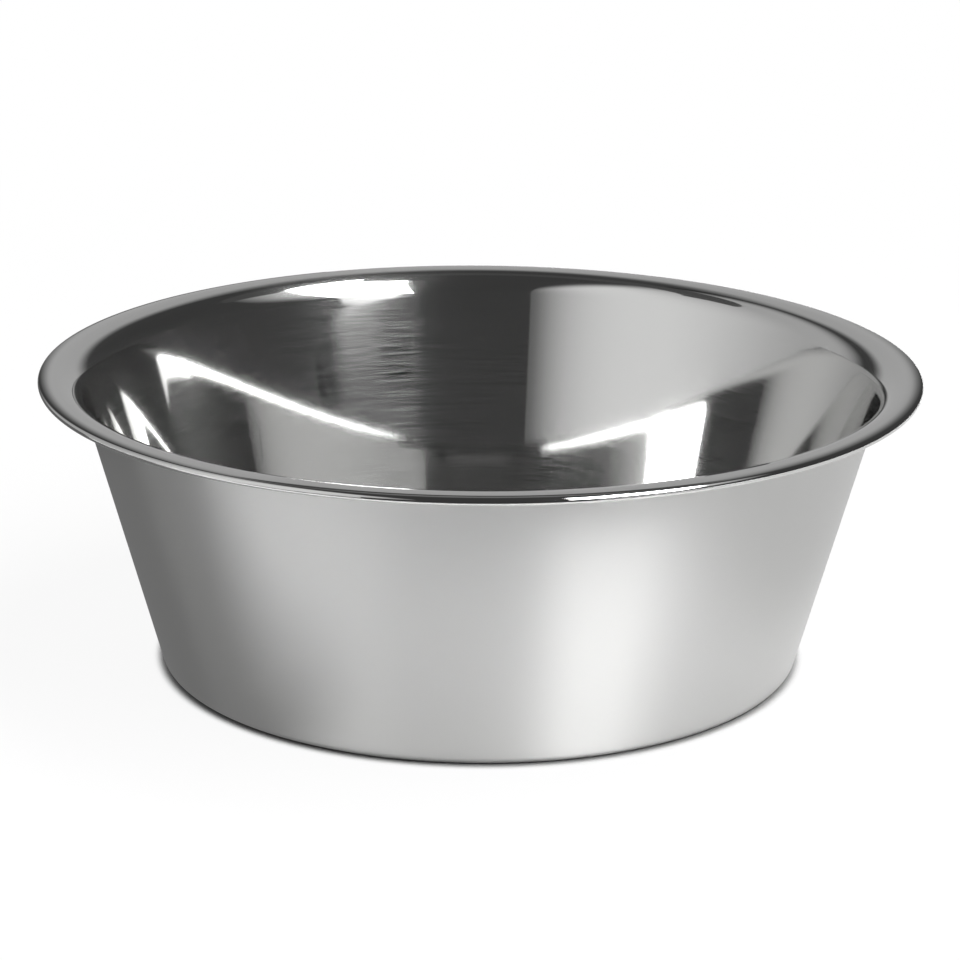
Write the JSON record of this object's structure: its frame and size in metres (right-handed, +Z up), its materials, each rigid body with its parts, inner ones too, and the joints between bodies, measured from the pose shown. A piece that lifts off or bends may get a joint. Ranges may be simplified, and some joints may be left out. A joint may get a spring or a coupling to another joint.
{
  "type": "metal pet bowl",
  "caption": "Round stainless steel pet bowl with a tapered wall, a rounded base edge and a wide flange folded under at its edge; holds food or water.",
  "frame": {"origin": "centre of the base, on the plane that the bowl stands on", "axes": "+Z up along the bowl's axis, from the base to the mouth; +X and +Y are alike, because the bowl is round"},
  "size_m": [0.21, 0.21, 0.0713],
  "materials": {
    "stainless_steel": "mirror-polished inside, on the flange and on the folded edge; satin-brushed round the outside of the wall"
  },
  "bodies": {
    "root": {"bowl": "stainless_steel"}
  },
  "joints": []
}
